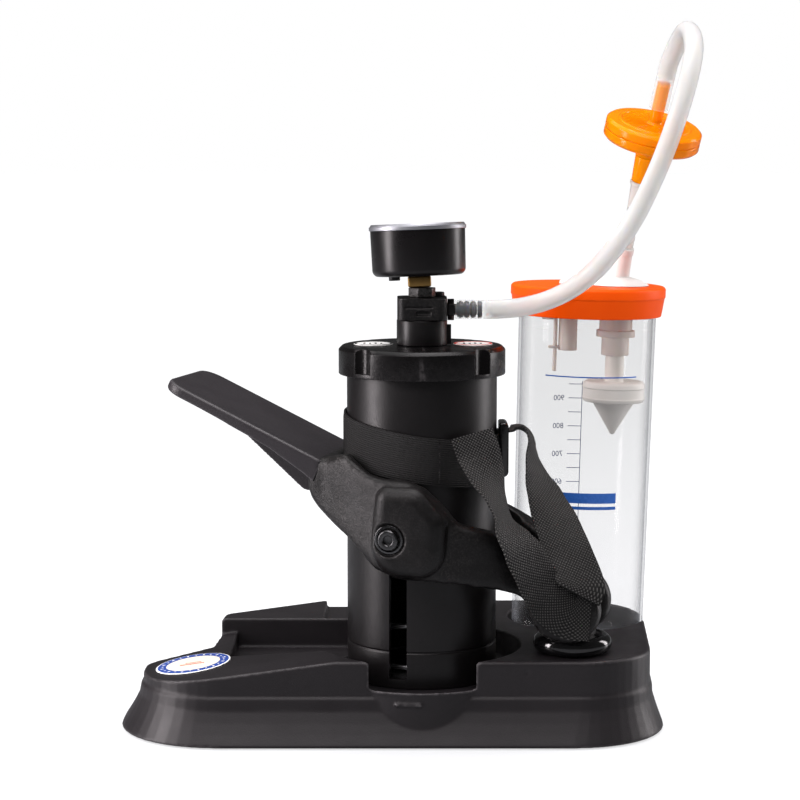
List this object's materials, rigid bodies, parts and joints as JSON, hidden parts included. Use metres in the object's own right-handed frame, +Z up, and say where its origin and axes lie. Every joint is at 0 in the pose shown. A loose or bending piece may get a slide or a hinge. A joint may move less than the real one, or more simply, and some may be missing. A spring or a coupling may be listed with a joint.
{
  "type": "suction pump",
  "caption": "Foot-operated medical suction pump: pedal lever and piston barrel with a vacuum gauge, graduated collection jar, bacterial filter and hose on a tray base.",
  "frame": {"origin": "centre of the tray and lever's footprint, on the surface the feet stand on", "axes": "+Z up, -Y towards the user, +X from the pump towards the collection jar"},
  "size_m": [0.3578, 0.207, 0.4262],
  "materials": {
    "tray_plastic": "satin",
    "foot_rubber": "matt",
    "barrel_plastic": "satin",
    "cap_plastic": "satin",
    "cast_black": "satin",
    "bumper_rubber": "gloss",
    "steel": "satin",
    "dark_steel": "satin",
    "brass": "satin",
    "bezel_chrome": "polished",
    "gauge_lens": "clear",
    "gauge_black": "satin",
    "dial_white": "matt",
    "needle_red": "satin",
    "jar_clear": "clear",
    "lid_orange": "satin",
    "float_white": "satin",
    "filter_amber": "satin",
    "filter_paper": "matt",
    "webbing_black": "woven",
    "label_print": "satin",
    "hose_silicone": "satin"
  },
  "bodies": {
    "tray_and_fixed": {"base_shell": "tray_plastic", "rubber_foot_1": "foot_rubber", "rubber_foot_2": "foot_rubber", "rubber_foot_3": "foot_rubber", "rubber_foot_4": "foot_rubber", "cap_gasket": "foot_rubber", "lid_gasket": "foot_rubber", "pump_barrel": "barrel_plastic", "valve_turret": "barrel_plastic", "gauge_nut": "barrel_plastic", "pump_cap": "cap_plastic", "manifold_block": "cast_black", "hose_barb": "cast_black", "fulcrum_post": "cast_black", "post_bumper": "bumper_rubber", "barrel_screw_1": "steel", "barrel_screw_2": "steel", "barrel_screw_3": "steel", "return_spring": "steel", "spring_seat": "steel", "post_screw": "steel", "gauge_stem": "brass", "bourdon_tube": "brass", "gauge_bezel": "bezel_chrome", "gauge_lens": "gauge_lens", "gauge_case": "gauge_black", "gauge_dial": "dial_white", "collection_jar": "jar_clear", "jar_lid": "lid_orange", "float_cage": "float_white", "inlet_tube": "float_white", "inlet_plug": "float_white", "lid_port": "float_white", "taper_adaptor": "filter_amber", "filter_lower_shell": "filter_amber", "filter_upper_shell": "filter_amber", "filter_membrane": "filter_paper", "strap_belt": "webbing_black", "belt_loop": "webbing_black", "strap_front_leg": "webbing_black", "strap_rear_leg": "webbing_black", "nose_label": "label_print", "cap_label_left": "label_print", "cap_label_right": "label_print", "suction_hose": "hose_silicone"},
    "lever": {"lever_yoke": "cast_black", "pedal_plate": "cast_black", "pivot_bolt_front": "dark_steel", "pivot_bolt_rear": "dark_steel", "fulcrum_pin": "steel"},
    "piston": {"piston_head": "barrel_plastic", "piston_seal": "foot_rubber", "piston_valve_ring": "foot_rubber", "piston_rod": "steel", "crosshead": "barrel_plastic", "crosshead_pin": "steel"},
    "needle": {"gauge_needle": "needle_red"},
    "shutoff_float": {"shutoff_float": "float_white"},
    "inlet_valve": {"inlet_valve_disc": "foot_rubber"}
  },
  "joints": [
    {"name": "lever_pivot", "type": "hinge", "parent": "tray_and_fixed", "child": "lever", "pos_m": [0.096, -0.06083, 0.079], "axis": [-0.2588, -0.9659, 0], "range_deg": [0, 29], "stiffness_Nm_per_rad": 8, "springref_deg": -14.32},
    {"name": "piston_slide", "type": "slide", "parent": "tray_and_fixed", "child": "piston", "axis": [0, 0, -1], "range_m": [0, 0.0524], "deforming": ["return_spring"]},
    {"name": "needle_turn", "type": "hinge", "parent": "tray_and_fixed", "child": "needle", "pos_m": [0.0038, -0.0365, 0.2683], "axis": [-0.0384, 0, 0.9993], "range_deg": [-270, 0], "stiffness_Nm_per_rad": 0.0005},
    {"name": "float_slide", "type": "slide", "parent": "tray_and_fixed", "child": "shutoff_float", "axis": [0.0244, 0, 0.9997], "range_m": [0, 0.008]},
    {"name": "inlet_valve_slide", "type": "slide", "parent": "tray_and_fixed", "child": "inlet_valve", "axis": [0, 0, 1], "range_m": [0, 0.001]}
  ],
  "couplings": [
    {"joint": "piston_slide", "follows": "lever_pivot", "m_per_rad": 0.1035}
  ]
}
